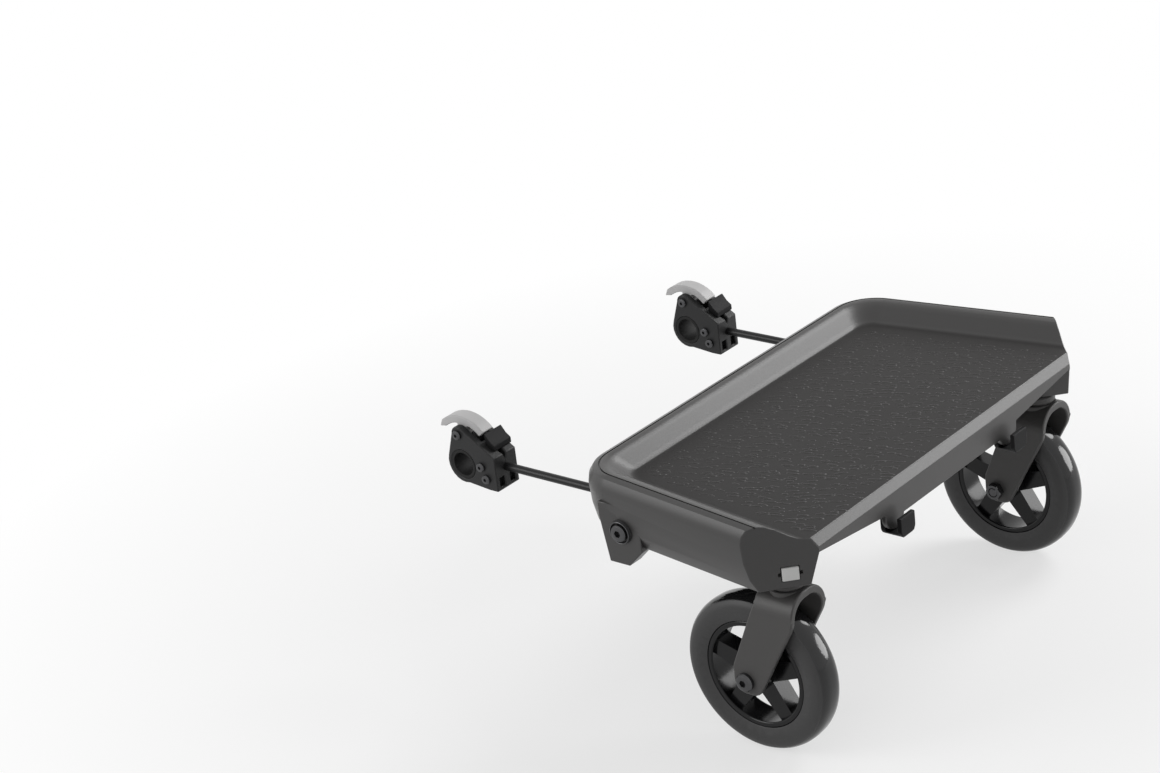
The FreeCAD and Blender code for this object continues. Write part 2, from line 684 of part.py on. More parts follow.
    # Fork: an arch seen from the front, trimmed to a raked and tapered leg seen from the side
    crown = f"({HEM} - collar_gap - collar_height)"
    outside = "(fork_gap/2 + fork_plate)"
    arch = pad(f"{word}_fork_arch", "XZ", [
        (f"-{outside}", f"{WHEEL_Z} - 2*fork_end"), (f"-{outside}", crown), (outside, crown),
        (outside, f"{WHEEL_Z} - 2*fork_end"), ("fork_gap/2", f"{WHEEL_Z} - 2*fork_end"),
        ("fork_gap/2", f"{crown} - fork_crown"), ("-fork_gap/2", f"{crown} - fork_crown"),
        ("-fork_gap/2", f"{WHEEL_Z} - 2*fork_end"),
    ], "2*(wheel_trail + fork_top_rear + fork_top_front)",
        (f"{side}*swivel_offset", f"{SWIVEL_Y} + 2*wheel_trail + fork_top_front", "0"),
        rounds=[(1, "fork_shoulder"), (2, "fork_shoulder"),
                (5, "fork_shoulder - fork_plate"), (6, "fork_shoulder - fork_plate")])
    leg = pad(f"{word}_fork_leg", "YZ", [
        (f"{SWIVEL_Y} - fork_top_rear", f"{crown} + wall"),
        (f"{SWIVEL_Y} - fork_top_rear", f"{crown} - fork_waist"),
        (f"{WHEEL_Y} - fork_end", f"{WHEEL_Z} - fork_end"),
        (f"{WHEEL_Y} + fork_end", f"{WHEEL_Z} - fork_end"),
        (f"{WHEEL_Y} + fork_end", f"{WHEEL_Z} + fork_end"),
        (f"{SWIVEL_Y} + fork_top_front", f"{crown} - fork_waist/2"),
        (f"{SWIVEL_Y} + fork_top_front", f"{crown} + wall"),
    ], f"2*{outside} + 2*wall", (f"{side}*swivel_offset - {outside} - wall", "0", "0"),
        rounds=[(1, "fork_waist"), (2, "fork_end_round"), (3, "fork_end_round"), (4, "fork_end"),
                (5, "fork_end")])
    blank = joined("Common", f"{word}_fork_blank", arch, [leg])
    boss = cylinder(f"{word}_fork_boss", "fork_boss", "fork_crown",
                    (f"{side}*swivel_offset", SWIVEL_Y, f"{crown} - fork_crown"), "Z")
    fork = joined("Fuse", f"{word}_fork_crowned", blank, [boss])
    axle_hole = cylinder(f"{word}_fork_hole", "axle_bolt_diameter + 2*seat_clearance",
                         f"2*{outside} + 2*wall",
                         (f"{side}*swivel_offset - {outside} - wall", WHEEL_Y, WHEEL_Z), "X")
    keep(f"{word}_fork", joined("Cut", f"{word}_fork_bored", fork, [axle_hole]))

    # Axle bolt, its nut and the two spacers that keep the hub central
    span = "(fork_gap + 2*fork_plate)"
    bolt = turned(f"{word}_caster_axle", "X", [
        ("0", "0"), (f"-{side}*({span} + nut_thickness)", "0"),
        (f"-{side}*({span} + nut_thickness)", "axle_bolt_diameter/2"), ("0", "axle_bolt_diameter/2"),
        ("0", "axle_head_diameter/2"),
        (f"{side}*(axle_head_height - axle_head_dome)", "axle_head_diameter/2"),
        (f"{side}*axle_head_height", "axle_head_diameter/2 - axle_head_dome"),
        (f"{side}*axle_head_height", "socket_diameter/2"),
        (f"{side}*(axle_head_height - socket_depth)", "socket_diameter/2"),
        (f"{side}*(axle_head_height - socket_depth)", "0"),
    ], (f"{side}*(swivel_offset + {outside})", WHEEL_Y, WHEEL_Z))
    keep(f"{word}_caster_axle", bolt)
    nut = turned(f"{word}_caster_nut", "X", [
        ("0", "axle_bolt_diameter/2 + seat_clearance"), ("0", "nut_diameter/2"),
        (f"-{side}*nut_thickness", "nut_diameter/2"),
        (f"-{side}*nut_thickness", "axle_bolt_diameter/2 + seat_clearance"),
    ], (f"{side}*(swivel_offset - {outside})", WHEEL_Y, WHEEL_Z))
    keep(f"{word}_caster_nut", nut)
    spacer_length = "(fork_gap/2 - hub_width/2 - bearing_flange_thickness - end_clearance)"
    spacers = []
    for hand in (-1, 1):
        spacers.append(turned(f"{word}_spacer_{'inner' if hand == -side else 'outer'}", "X", [
            ("0", "axle_bolt_diameter/2 + seat_clearance"), ("0", "hub_diameter/4"),
            (f"{hand}*{spacer_length}", "bearing_flange/2"),
            (f"{hand}*{spacer_length}", "axle_bolt_diameter/2 + seat_clearance"),
        ], (f"{side}*swivel_offset + {hand}*(fork_gap/2 - {spacer_length})", WHEEL_Y, WHEEL_Z)))
    keep(f"{word}_axle_spacers", group(f"{word}_axle_spacer_pair", spacers))

    # Wheel: solid round-shouldered tyre on a spoked hub with two flanged bearing bushes
    rim = "(wheel_diameter/2 - tyre_height)"
    tyre = doc.addObject("PartDesign::Body", f"{word}_tyre")
    crown_height = "(tyre_height*tread_share)"
    shoulder = [(f"tyre_width/2*cos({turn})^tread_fullness",
                 f"wheel_diameter/2 - {crown_height} + {crown_height}*sin({turn})^tread_fullness")
                for turn in range(0, 90, 15)]
    tyre_outline = sketch(tyre, f"{word}_tyre_outline", "XY", [
        ("-rim_width/2", rim), *[(f"-{across}", out) for across, out in shoulder], ("0", "wheel_diameter/2"),
        *reversed(shoulder), ("rim_width/2", rim),
    ])
    tyre_turn = tyre.newObject("PartDesign::Revolution", f"{word}_tyre_turn")
    tyre_turn.Profile = tyre_outline
    tyre_turn.ReferenceAxis = (tyre_outline, ["H_Axis"])
    tyre_turn.Angle = 360
    wheel_place = (f"{side}*swivel_offset", WHEEL_Y, WHEEL_Z)
    place(tyre, wheel_place)
    keep(f"{word}_tyre", tyre)

    seat = f"({rim} - seat_clearance)"
    hub = turned(f"{word}_wheel_hub", "X", [
        ("-rim_width/2", f"{seat} - rim_thickness"), ("-rim_width/2", seat), ("rim_width/2", seat),
        ("rim_width/2", f"{seat} - rim_thickness"),
    ], wheel_place)
    spoke_outline = sketch(hub, f"{word}_spoke_outline", "YZ", [
        ("-spoke_root/2", "hub_diameter/2 - spoke_overlap"), ("-spoke_tip/2", f"{seat} - rim_thickness/2"),
        ("spoke_tip/2", f"{seat} - rim_thickness/2"), ("spoke_root/2", "hub_diameter/2 - spoke_overlap"),
    ])
    boss_outline = sketch(hub, f"{word}_boss_outline", "XY", [
        ("-hub_width/2", "bearing_diameter/2 + seat_clearance"),
        ("-hub_width/2", "hub_diameter/2 - hub_chamfer"),
        ("-hub_width/2 + hub_chamfer", "hub_diameter/2"), ("hub_width/2 - hub_chamfer", "hub_diameter/2"),
        ("hub_width/2", "hub_diameter/2 - hub_chamfer"),
        ("hub_width/2", "bearing_diameter/2 + seat_clearance"),
    ])
    spoke = hub.newObject("PartDesign::Pad", f"{word}_spoke")
    spoke.Profile = spoke_outline
    spoke.SideType = "Symmetric"
    bind(spoke, "Length", "spoke_thickness")
    doc.recompute()
    spokes = hub.newObject("PartDesign::PolarPattern", f"{word}_spokes")
    spokes.Originals = [spoke]
    spokes.Axis = (spoke_outline, ["N_Axis"])
    spokes.Angle = 360
    bind(spokes, "Occurrences", "spoke_count")
    hub.Tip = spokes
    doc.recompute()
    boss = hub.newObject("PartDesign::Revolution", f"{word}_boss")
    boss.Profile = boss_outline
    boss.ReferenceAxis = (boss_outline, ["H_Axis"])
    boss.Angle = 360
    hub.Tip = boss
    keep(f"{word}_wheel_hub", hub)

    bearings = []
    for hand in (-1, 1):
        turn = "(axle_bolt_diameter/2 + running_clearance)"
        bearings.append(turned(f"{word}_bearing_{'inner' if hand == -side else 'outer'}", "X", [
            (f"-{hand}*bearing_length", turn), (f"{hand}*bearing_flange_thickness", turn),
            (f"{hand}*bearing_flange_thickness", "bearing_flange/2"), ("0", "bearing_flange/2"),
            ("0", "bearing_diameter/2"), (f"-{hand}*bearing_length", "bearing_diameter/2"),
        ], (f"{side}*swivel_offset + {hand}*hub_width/2", WHEEL_Y, WHEEL_Z)))
    keep(f"{word}_wheel_bearings", group(f"{word}_bearing_pair", bearings))

    # Arm: a steel rod from the clamp's socket to the hinge barrel
    rod_end = f"({HINGE_Y} + barrel_diameter/2)"
    rod = cylinder(f"{word}_arm_rod", "rod_diameter", f"-clamp_rear + rod_socket_depth - {rod_end}",
                   (f"{side}*arm_offset", rod_end, HINGE_Z), "Y")
    keep(f"{word}_arm_rod", rod)
    barrel_start = "barrel_inside" if side > 0 else "-barrel_outside"
    barrel = cylinder(f"{word}_barrel_tube", "barrel_diameter", "barrel_length",
                      (barrel_start, HINGE_Y, HINGE_Z), "X")
    collar = cylinder(f"{word}_barrel_collar", "barrel_collar", "collar_length + barrel_diameter/2",
                      (f"{side}*arm_offset", HINGE_Y, HINGE_Z), "Y")
    pivot_bore = cylinder(f"{word}_barrel_bore", "pivot_diameter + 2*running_clearance",
                          "barrel_length + 2*wall",
                          (f"{barrel_start} - wall", HINGE_Y, HINGE_Z), "X")
    rod_bore = cylinder(f"{word}_barrel_socket", "rod_diameter + 2*seat_clearance", "collar_length + wall",
                        (f"{side}*arm_offset", rod_end, HINGE_Z), "Y")
    keep(f"{word}_hinge_barrel",
         joined("Cut", f"{word}_barrel", joined("Fuse", f"{word}_barrel_blank", barrel, [collar]),
                [pivot_bore, rod_bore]))

    # Axle clamp: two cheeks with a horn for the lever pin, a ring round the axle and a block behind it
    clamp_start = f"{side}*arm_offset - clamp_width/2"
    blank = pad(f"{word}_clamp_blank", "YZ", [
        ("-clamp_rear", "clamp_shoulder"), ("-clamp_rear", "-clamp_foot"),
        ("-clamp_rear + clamp_foot_length", "-clamp_foot"),
        *arc("0", "0", "clamp_ring", -105, 20, steps=8),
        *arc("lever_pin_forward", "lever_pin_height", "horn_radius", 0, HORN_TURN),
    ], "clamp_width", (clamp_start, "0", "0"))
    gap = box(f"{word}_clamp_gap", ("cheek_gap", "2*clamp_rear", "2*lever_pin_height"),
              (f"{side}*arm_offset - cheek_gap/2", "-gap_rear", "gap_floor"))
    hole = cylinder(f"{word}_clamp_bore", "axle_diameter + 2*liner_wall + 2*seat_clearance",
                    "clamp_width + 2*wall",
                    (f"{clamp_start} - wall", "0", "0"), "X")
    yoke = pad(f"{word}_clamp_yoke", "XZ", [
        ("-yoke_width/2", "lever_pin_height"), ("0", "yoke_drop"), ("yoke_width/2", "lever_pin_height"),
    ], "yoke_depth + wall", (f"{side}*arm_offset", "-clamp_rear + yoke_depth", "0"))
    tools = [gap, hole, yoke]
    for hand in (-1, 1):
        tools.append(box(f"{word}_clamp_slot_{hand + 1}", ("slot_width", "slot_depth + wall", "slot_height"),
                         (f"{side}*arm_offset + {hand}*slot_width - slot_width/2", "-clamp_rear - wall",
                          f"{HINGE_Z} - rod_diameter - slot_height")))
    tools.append(cylinder(f"{word}_clamp_socket", "rod_diameter + 2*seat_clearance",
                          "rod_socket_depth + wall",
                          (f"{side}*arm_offset", "-clamp_rear - wall", HINGE_Z), "Y"))
    tools.append(cylinder(f"{word}_clamp_pin_hole", "lever_pin_diameter + 2*seat_clearance",
                          "clamp_width + 2*wall",
                          (f"{clamp_start} - wall", "lever_pin_forward", "lever_pin_height"), "X"))
    keep(f"{word}_clamp_body", joined("Cut", f"{word}_clamp", blank, tools))

    liner = turned(f"{word}_clamp_liner", "X", [
        ("-clamp_width/2", "axle_diameter/2"), ("-clamp_width/2", "axle_diameter/2 + liner_wall"),
        ("clamp_width/2", "axle_diameter/2 + liner_wall"), ("clamp_width/2", "axle_diameter/2"),
    ], (f"{side}*arm_offset", "0", "0"))
    keep(f"{word}_clamp_liner", liner)

    pin = turned(f"{word}_lever_pin", "X", [
        ("0", "0"), ("-screw_head_height", "0"), ("-screw_head_height", "screw_head/2"),
        ("0", "screw_head/2"),
        ("0", "lever_pin_diameter/2"), ("clamp_width", "lever_pin_diameter/2"), ("clamp_width", "0"),
    ], (clamp_start, "lever_pin_forward", "lever_pin_height"))
    keep(f"{word}_lever_pin", pin)

    screws = []
    for step in (0, 1):
        screws.append(turned(f"{word}_cheek_screw_{step}", "X", [
            ("0", "0"), ("-screw_head_height", "0"),
            ("-screw_head_height", "screw_head/2 - cheek_screw_dome"),
            ("-screw_head_height/2", "screw_head/2"), ("0", "screw_head/2"),
        ], (clamp_start, f"-cheek_screw_back - {step}*cheek_screw_step_back",
            f"cheek_screw_height - {step}*cheek_screw_step_down")))
    keep(f"{word}_cheek_screws", group(f"{word}_cheek_screw_pair", screws))

    # Clamp lever: an arch over the horn, with a drooping thumb tip in front and an eye on the pin
    lever_width = "(cheek_gap - 2*side_clearance)"
    lever_start = f"{side}*arm_offset - {lever_width}/2"
    back = arc("lever_centre_forward", "lever_centre_height", "lever_radius", LEVER_TIP, LEVER_TAIL, steps=10)
    belly = arc("lever_centre_forward", "lever_centre_height", "(lever_radius - lever_thickness)",
                LEVER_TAIL, LEVER_TIP, steps=10)
    thumb = (f"{belly[-1][0]} + lever_thickness", f"{belly[-1][1]} - lever_tip_droop")
    blade = pad(f"{word}_lever_blade", "YZ", [*back, *belly, thumb], lever_width, (lever_start, "0", "0"))
    web = box(f"{word}_lever_web",
              (lever_width, "lever_eye",
               "lever_centre_height + lever_radius - lever_thickness/2 - lever_pin_height"),
              (lever_start, "lever_pin_forward - lever_eye/2", "lever_pin_height"))
    eye = cylinder(f"{word}_lever_eye", "lever_eye", lever_width,
                   (lever_start, "lever_pin_forward", "lever_pin_height"), "X")
    bore = cylinder(f"{word}_lever_bore", "lever_pin_diameter + 2*running_clearance", "cheek_gap + 2*wall",
                    (f"{lever_start} - wall", "lever_pin_forward", "lever_pin_height"), "X")
    lever = joined("Fuse", f"{word}_lever_blank", blade, [web, eye])
    keep(f"{word}_clamp_lever", joined("Cut", f"{word}_lever", lever, [bore]))

    # Catch behind the lever's tail, slid back by the thumb along the cheeks' sloping tops
    tail = f"({back[-1][0]} - catch_clearance)"
    horn_end = (f"(lever_pin_forward + horn_radius*cos({HORN_TURN}))",
                f"(lever_pin_height + horn_radius*sin({HORN_TURN}))")
    slope = f"(({horn_end[1]} - clamp_shoulder)/({horn_end[0]} + clamp_rear))"
    front = f"(clamp_shoulder + (clamp_rear + {tail})*{slope})"
    rear = f"(clamp_shoulder + (clamp_rear - catch_rear)*{slope})"
    catch = pad(f"{word}_lever_catch", "YZ", [
        ("-catch_rear", rear), (tail, front), (tail, f"{front} + catch_height"),
        (f"({tail} - catch_rear)/2", f"({front} + {rear})/2 + catch_height - catch_dip"),
        ("-catch_rear", f"{rear} + catch_heel"),
    ], "cheek_gap + catch_thumb", (f"{side}*arm_offset - cheek_gap/2", "0", "side_clearance"))
    keep(f"{word}_lever_catch", catch)

doc.recompute()
failed = [obj.Name for obj in doc.Objects if {"Invalid", "Error"} & set(obj.State)]
if failed:
    raise RuntimeError(f"features that did not build: {failed}")
for obj in subparts:
    if obj.Shape.isNull() or not obj.Shape.isValid() or not obj.Shape.Solids:
        raise RuntimeError(f"{obj.Label} has no valid solid")

os.makedirs("parts", exist_ok=True)
for obj in subparts:
    obj.Shape.exportStep(f"parts/{obj.Label}.step")
    print(obj.Label, len(obj.Shape.Solids), round(obj.Shape.Volume))
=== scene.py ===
import json
import math
import bmesh
import bpy
from mathutils import Matrix, Vector


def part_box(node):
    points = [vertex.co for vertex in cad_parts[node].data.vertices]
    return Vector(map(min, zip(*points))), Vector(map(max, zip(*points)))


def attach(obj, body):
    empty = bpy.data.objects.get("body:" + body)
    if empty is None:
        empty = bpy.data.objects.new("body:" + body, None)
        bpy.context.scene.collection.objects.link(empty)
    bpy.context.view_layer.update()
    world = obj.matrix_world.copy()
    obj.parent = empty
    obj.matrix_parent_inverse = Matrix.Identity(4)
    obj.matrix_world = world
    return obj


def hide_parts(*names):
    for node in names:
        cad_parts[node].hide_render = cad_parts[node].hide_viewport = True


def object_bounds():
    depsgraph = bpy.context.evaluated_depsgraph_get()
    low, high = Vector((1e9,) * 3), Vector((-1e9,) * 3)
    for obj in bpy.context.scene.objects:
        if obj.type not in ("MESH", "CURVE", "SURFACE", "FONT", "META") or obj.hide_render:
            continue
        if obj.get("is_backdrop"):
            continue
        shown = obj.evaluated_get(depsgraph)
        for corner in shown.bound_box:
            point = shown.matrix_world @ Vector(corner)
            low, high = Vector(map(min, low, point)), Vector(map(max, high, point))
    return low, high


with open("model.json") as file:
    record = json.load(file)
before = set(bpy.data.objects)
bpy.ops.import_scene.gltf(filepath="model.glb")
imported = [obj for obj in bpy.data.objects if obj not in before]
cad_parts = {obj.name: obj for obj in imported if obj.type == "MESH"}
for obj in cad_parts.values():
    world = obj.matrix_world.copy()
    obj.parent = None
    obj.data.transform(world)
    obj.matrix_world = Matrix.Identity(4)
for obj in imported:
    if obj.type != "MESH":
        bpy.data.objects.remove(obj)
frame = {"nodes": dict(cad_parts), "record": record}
cad_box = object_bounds()

# Camera: a long lens from behind the left rear corner, looking down on the platform. Its place and turn were
# worked out from what shows in the picture, in the part's own frame.
CAMERA_PLACE = Vector((-1.4616, -1.3255, 0.859))
CAMERA_AZIMUTH = math.radians(-47.56)
CAMERA_DIP = math.radians(23.46)
CAMERA_ROLL = math.radians(7.25)
CAMERA_LENS_MM = 82.86
CAMERA_SENSOR_MM = 36.0
CAMERA_NEAREST = 0.05

view = bpy.data.cameras.new("camera")
view.lens = CAMERA_LENS_MM
view.sensor_width = CAMERA_SENSOR_MM
view.clip_start = CAMERA_NEAREST
camera = bpy.data.objects.new("camera", view)
bpy.context.scene.collection.objects.link(camera)
camera.matrix_world = (
    Matrix.Translation(CAMERA_PLACE)
    @ Matrix.Rotation(CAMERA_AZIMUTH, 4, "Z")
    @ Matrix.Rotation(math.pi / 2 - CAMERA_DIP, 4, "X")
    @ Matrix.Rotation(-CAMERA_ROLL, 4, "Z")
)
bpy.context.scene.camera = camera
bpy.context.scene.view_settings.view_transform = "Standard"

# Studio: a pale matt floor under the casters, a white surround, one lamp high on the right, one low off the
# right rear corner and a broad one off the left front corner. The floor whitens away from the board's shadow,
# and is clear from below, to show the underside.
SIDES = {"left": -1, "right": 1}
WHITE = (1.0, 1.0, 1.0, 1.0)
FLOOR_COLOUR = (0.86, 0.86, 0.86, 1.0)
FLOOR_ROUGHNESS = 0.9
FLOOR_SPECULAR = 0.1
FLOOR_SIZE = 9.0
FLOOR_WHITENESS = 0.62
SHADOW_MIDDLE = (0.05, -0.2, 0.0)
SHADOW_REACH = 0.36
SHADOW_FADE = 0.45
SURROUND_STRENGTH = 0.35
LAMPS = {
    "right_lamp": {"place": Vector((1.4, -0.62, 1.15)), "size": 1.0, "power": 17.0},
    "lip_lamp": {"place": Vector((1.6, -1.7, 0.38)), "size": 1.0, "power": 17.0},
    "left_lamp": {"place": Vector((-1.6, 1.0, 0.95)), "size": 1.3, "power": 17.0},
}
LAMPS_AIM = Vector((0.0, -0.2, 0.0))


class Shade:
    """A socket that takes part in Python arithmetic: an expression on it adds its Math nodes."""

    def __init__(self, socket):
        self.socket = socket

    def node(self, kind, settings, inputs, output=0):
        """A node of another kind: its settings first, then the values or links of its sockets."""
        made = self.socket.id_data.nodes.new(kind)
        for name, value in settings.items():
            setattr(made, name, value)
        for key, value in inputs.items():
            if isinstance(value, Shade):
                self.socket.id_data.links.new(value.socket, made.inputs[key])
            else:
                made.inputs[key].default_value = value
        return Shade(made.outputs[output])

    def math(self, operation, *values):
        return self.node("ShaderNodeMath", {"operation": operation}, dict(enumerate(values)))

    def __add__(self, other):
        return self.math("ADD", self, other)

    __radd__ = __add__

    def __sub__(self, other):
        return self.math("SUBTRACT", self, other)

    def __rsub__(self, other):
        return self.math("SUBTRACT", other, self)

    def __mul__(self, other):
        return self.math("MULTIPLY", self, other)

    __rmul__ = __mul__

    def __truediv__(self, other):
        return self.math("DIVIDE", self, other)

    def __rtruediv__(self, other):
        return self.math("DIVIDE", other, self)

    def __abs__(self):
        return self.math("ABSOLUTE", self)

    def __round__(self):
        return self.math("ROUND", self)

    def larger(self, other):
        return self.math("MAXIMUM", self, other)

    def ramp(self, start, width):
        """0 up to a start, then rising to 1 over a width."""
        return self.node("ShaderNodeClamp", {}, {0: (self - start) / width, 1: 0.0, 2: 1.0})

    def axis(self, letter):
        """One part of a vector."""
        return self.node("ShaderNodeSeparateXYZ", {}, {0: self}, output="XYZ".index(letter))


def blank_material(name):
    """A new material, its shader node and its Object coordinates."""
    material = bpy.data.materials.new(name)
    material.use_nodes = True
    tree = material.node_tree
    place = tree.nodes.new("ShaderNodeTexCoord")
    return material, tree.nodes["Principled BSDF"], Shade(place.outputs["Object"])


def plug(shader, name, source):
    """Links a worked-out value into one of a node's sockets."""
    shader.id_data.links.new(source.socket, shader.inputs[name])


def sight(tree):
    """Whether a ray comes straight from the camera, and whether it comes so, off a gloss or through glass."""
    rays = tree.nodes.new("ShaderNodeLightPath").outputs
    straight = Shade(rays["Is Camera Ray"])
    seen = straight
    for way in ("Is Glossy Ray", "Is Transmission Ray"):
        seen = seen.larger(Shade(rays[way]))
    return straight, seen


floor_level = min(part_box(f"{side}_tyre")[0].z for side in SIDES)
half = FLOOR_SIZE / 2
floor_corners = ((-half, -half), (half, -half), (half, half), (-half, half))
ground_mesh = bpy.data.meshes.new("studio_floor")
ground_mesh.from_pydata([(x, y, floor_level) for x, y in floor_corners], [], [(0, 1, 2, 3)])
ground = bpy.data.objects.new("studio_floor", ground_mesh)
bpy.context.scene.collection.objects.link(ground)
pale, pale_shader, floor_place = blank_material("pale_floor")
pale_shader.inputs["Base Color"].default_value = FLOOR_COLOUR
pale_shader.inputs["Roughness"].default_value = FLOOR_ROUGHNESS
pale_shader.inputs["Specular IOR Level"].default_value = FLOOR_SPECULAR
straight, seen = sight(pale.node_tree)
away = seen.node("ShaderNodeVectorMath", {"operation": "DISTANCE"}, {
    0: floor_place, 1: SHADOW_MIDDLE}, output=1)
fade = away.ramp(SHADOW_REACH, SHADOW_FADE)
whiteness = seen * FLOOR_WHITENESS + straight * fade * (1.0 - FLOOR_WHITENESS)
glow = seen.node("ShaderNodeEmission", {}, {"Color": WHITE, "Strength": 1.0})
mixed = seen.node("ShaderNodeMixShader", {}, {0: whiteness, 1: Shade(pale_shader.outputs[0]), 2: glow})
below = Shade(pale.node_tree.nodes.new("ShaderNodeNewGeometry").outputs["Backfacing"])
clear = seen.node("ShaderNodeBsdfTransparent", {}, {})
mixed = seen.node("ShaderNodeMixShader", {}, {0: below, 1: mixed, 2: clear})
plug(pale.node_tree.nodes["Material Output"], "Surface", mixed)
ground_mesh.materials.append(pale)
ground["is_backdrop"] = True

surround = bpy.data.worlds.new("white_surround")
bpy.context.scene.world = surround
surround.use_nodes = True
sky = surround.node_tree.nodes["Background"]
sky.inputs["Color"].default_value = WHITE
sky_seen = sight(surround.node_tree)[1]
plug(sky, "Strength", sky_seen * (1.0 - SURROUND_STRENGTH) + SURROUND_STRENGTH)

for lamp_name, make in LAMPS.items():
    lamp = bpy.data.lights.new(lamp_name, "AREA")
    lamp.shape = "DISK"
    lamp.size = make["size"]
    lamp.energy = make["power"]
    lamp_object = bpy.data.objects.new(lamp_name, lamp)
    turn = (LAMPS_AIM - make["place"]).to_track_quat("-Z", "Y")
    lamp_object.matrix_world = Matrix.Translation(make["place"]) @ turn.to_matrix().to_4x4()
    bpy.context.scene.collection.objects.link(lamp_object)

# Platform: one charcoal polypropylene moulding with a fine spark-eroded skin, a flared rim on three sides, an
# open rear lip and a skirt. The edges left by the mould are slightly rounded.
DECK_COLOUR = (0.034, 0.0325, 0.032)
DECK_ROUNDING = 0.0007
SEAM_DEPTH = 0.002
RIM_HEIGHT = 0.014
CLOUDS_PER_METRE = 14.0
CLOUD_SHARE = 0.7
ROUGHNESS_SPREAD = 0.12
MERGE_GAP = 2e-6
LEVEL_ANGLE = math.radians(0.5)
EDGE_ANGLE = math.radians(25)
TIGHT_SHARE = 0.6
BEVEL_STEPS = 2
owner = {node: body for body, nodes in frame["record"]["behaviour"]["bodies"].items() for node in nodes}
slots = {part["node"]: part["material_slot"] for part in frame["record"]["subparts"]}


def moulded(name, colour, roughness, grain, depth, mottle=0.10, specular=0.25):
    """Moulded plastic: a skin pitted to a depth, its pits a grain apart, and a faintly clouded colour."""
    material, shader, place = blank_material(name)
    shader.inputs["Specular IOR Level"].default_value = specular
    cloudy = place.node("ShaderNodeTexNoise", {}, {"Vector": place, "Scale": CLOUDS_PER_METRE, "Detail": 3.0})
    pits = place.node("ShaderNodeTexNoise", {}, {"Vector": place, "Scale": 1.0 / grain, "Detail": 2.0})
    dark, light = [(*[part * (1 + swing) for part in colour], 1.0) for swing in (-mottle, mottle)]
    tone = place.node("ShaderNodeMix", {"data_type": "RGBA"}, {
        0: cloudy * CLOUD_SHARE + pits * (1.0 - CLOUD_SHARE), 6: dark, 7: light}, output=2)
    plug(shader, "Base Color", tone)
    plug(shader, "Roughness", cloudy * ROUGHNESS_SPREAD + (roughness - ROUGHNESS_SPREAD / 2))
    skin = place.node("ShaderNodeBump", {}, {"Strength": 1.0, "Distance": depth, "Height": pits})
    plug(shader, "Normal", skin)
    return material


def placed(mesh, node, material):
    """A new piece that stands for a CAD node and rides its body."""
    mesh.materials.append(material)
    piece = bpy.data.objects.new(f"{node}_finish", mesh)
    bpy.context.scene.collection.objects.link(piece)
    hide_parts(node)
    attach(piece, owner[node])
    slots[node]
    return piece


def finished(node, material, rounding, keep_sharp_above=math.inf, trim=None, joined=True):
    """A merged copy of a CAD node, trimmed if asked, its level faces joined unless they run round openings.
    Its outer edges are rounded, apart from those above the given height and those close to another corner."""
    source = frame["nodes"][node].data
    mesh = bpy.data.meshes.new(f"{node}_finish")
    faces = [list(face.vertices) for face in source.polygons]
    mesh.from_pydata([point.co for point in source.vertices], [], faces)
    shape = bmesh.new()
    shape.from_mesh(mesh)
    bmesh.ops.remove_doubles(shape, verts=shape.verts, dist=MERGE_GAP)
    if trim:
        trim(shape)
    if joined:
        bmesh.ops.dissolve_limit(shape, angle_limit=LEVEL_ANGLE, verts=shape.verts, edges=shape.edges)
    weight = shape.edges.layers.float.new("bevel_weight_edge")
    for face in shape.faces:
        face.smooth = True
    for edge in shape.edges:
        edge.smooth = edge.calc_face_angle(math.pi) < EDGE_ANGLE
        low = min(point.co.z for point in edge.verts)
        shortest = min(link.calc_length() for point in edge.verts for link in point.link_edges)
        tight = shortest < TIGHT_SHARE * rounding
        left_sharp = edge.smooth or tight or low > keep_sharp_above or not edge.is_convex
        edge[weight] = 0.0 if left_sharp else 1.0
    shape.to_mesh(mesh)
    shape.free()
    piece = placed(mesh, node, material)
    rounded = piece.modifiers.new("rounded_edges", "BEVEL")
    rounded.width = rounding
    rounded.segments = BEVEL_STEPS
    rounded.limit_method = "WEIGHT"
    rounded.use_clamp_overlap = False
    rounded.loop_slide = False
    shading = piece.modifiers.new("flat_faces", "WEIGHTED_NORMAL")
    shading.keep_sharp = True
    return piece


charcoal = moulded(
    "charcoal_moulding", DECK_COLOUR, roughness=0.50, grain=0.0011, depth=0.00010, specular=0.12)
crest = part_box("deck_tray")[1].z
floor_height = crest - RIM_HEIGHT

# The standing floor is eroded matt, and the rim, lip and skirt round it came off a polished steel
MATT_BAND = 0.0007
MATT_BLEND = 0.0025
LEVEL_TILT = 0.07
TILT_BLEND = 0.06
POLISH_WEIGHT = 0.8
POLISH_ROUGHNESS = 0.36
deck_shader = charcoal.node_tree.nodes["Principled BSDF"]
deck_shader.inputs["Coat Roughness"].default_value = POLISH_ROUGHNESS
deck_place = charcoal.node_tree.nodes["Texture Coordinate"].outputs
height = Shade(deck_place["Object"]).axis("Z")
upward = Shade(deck_place["Normal"]).axis("Z")
off_floor = abs(height - floor_height).ramp(MATT_BAND, MATT_BLEND)
tilted = (1.0 - upward).ramp(LEVEL_TILT, TILT_BLEND)
plug(deck_shader, "Coat Weight", off_floor.larger(tilted) * POLISH_WEIGHT)

# Under each rear corner the block is cut back square to its slanting face, and the wall rises towards it
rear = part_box("deck_tray")[0].y
CUT_START = Vector((0.090, rear, 0.0032))
CUT_CORNER = Vector((0.168, rear, 0.0125))
CUT_SLANT = 0.0055
CUT_FOOT = Vector((0.1735, rear + CUT_SLANT, -0.012))
CUT_INNER = 0.146
CUT_MARGIN = 0.004
CUT_BELOW = 0.002


